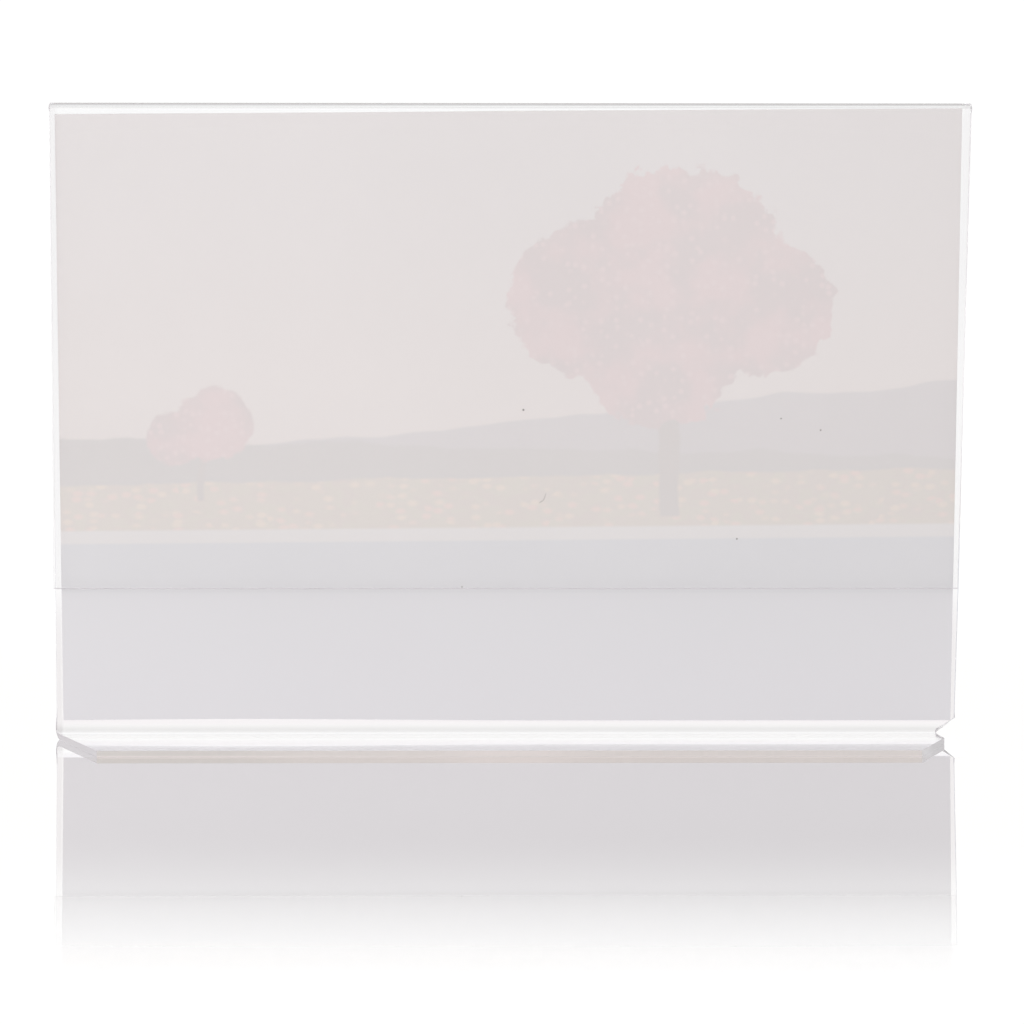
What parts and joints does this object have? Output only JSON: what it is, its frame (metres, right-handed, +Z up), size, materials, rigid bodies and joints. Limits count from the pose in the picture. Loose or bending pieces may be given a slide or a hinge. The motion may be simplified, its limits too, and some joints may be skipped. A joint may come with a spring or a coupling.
{
  "type": "acrylic sign holder",
  "caption": "Slant-back clear acrylic holder bent from one sheet, with a tapered foot and a landscape card that slides out sideways.",
  "frame": {"origin": "middle of the footprint, on the surface that the holder stands on", "axes": "+Z up, +X along the width, -Y the side that the card is read from, the foot runs towards +Y"},
  "size_m": [0.18, 0.0368, 0.1282],
  "materials": {
    "acrylic": "clear, polished",
    "card": "matt paper"
  },
  "bodies": {
    "holder": {"acrylic_holder": "acrylic"},
    "card": {"insert_card": "card"}
  },
  "joints": [
    {"name": "card_slide", "type": "slide", "parent": "holder", "child": "card", "axis": [1, 0, 0], "range_m": [-0.168, 0.168]}
  ]
}
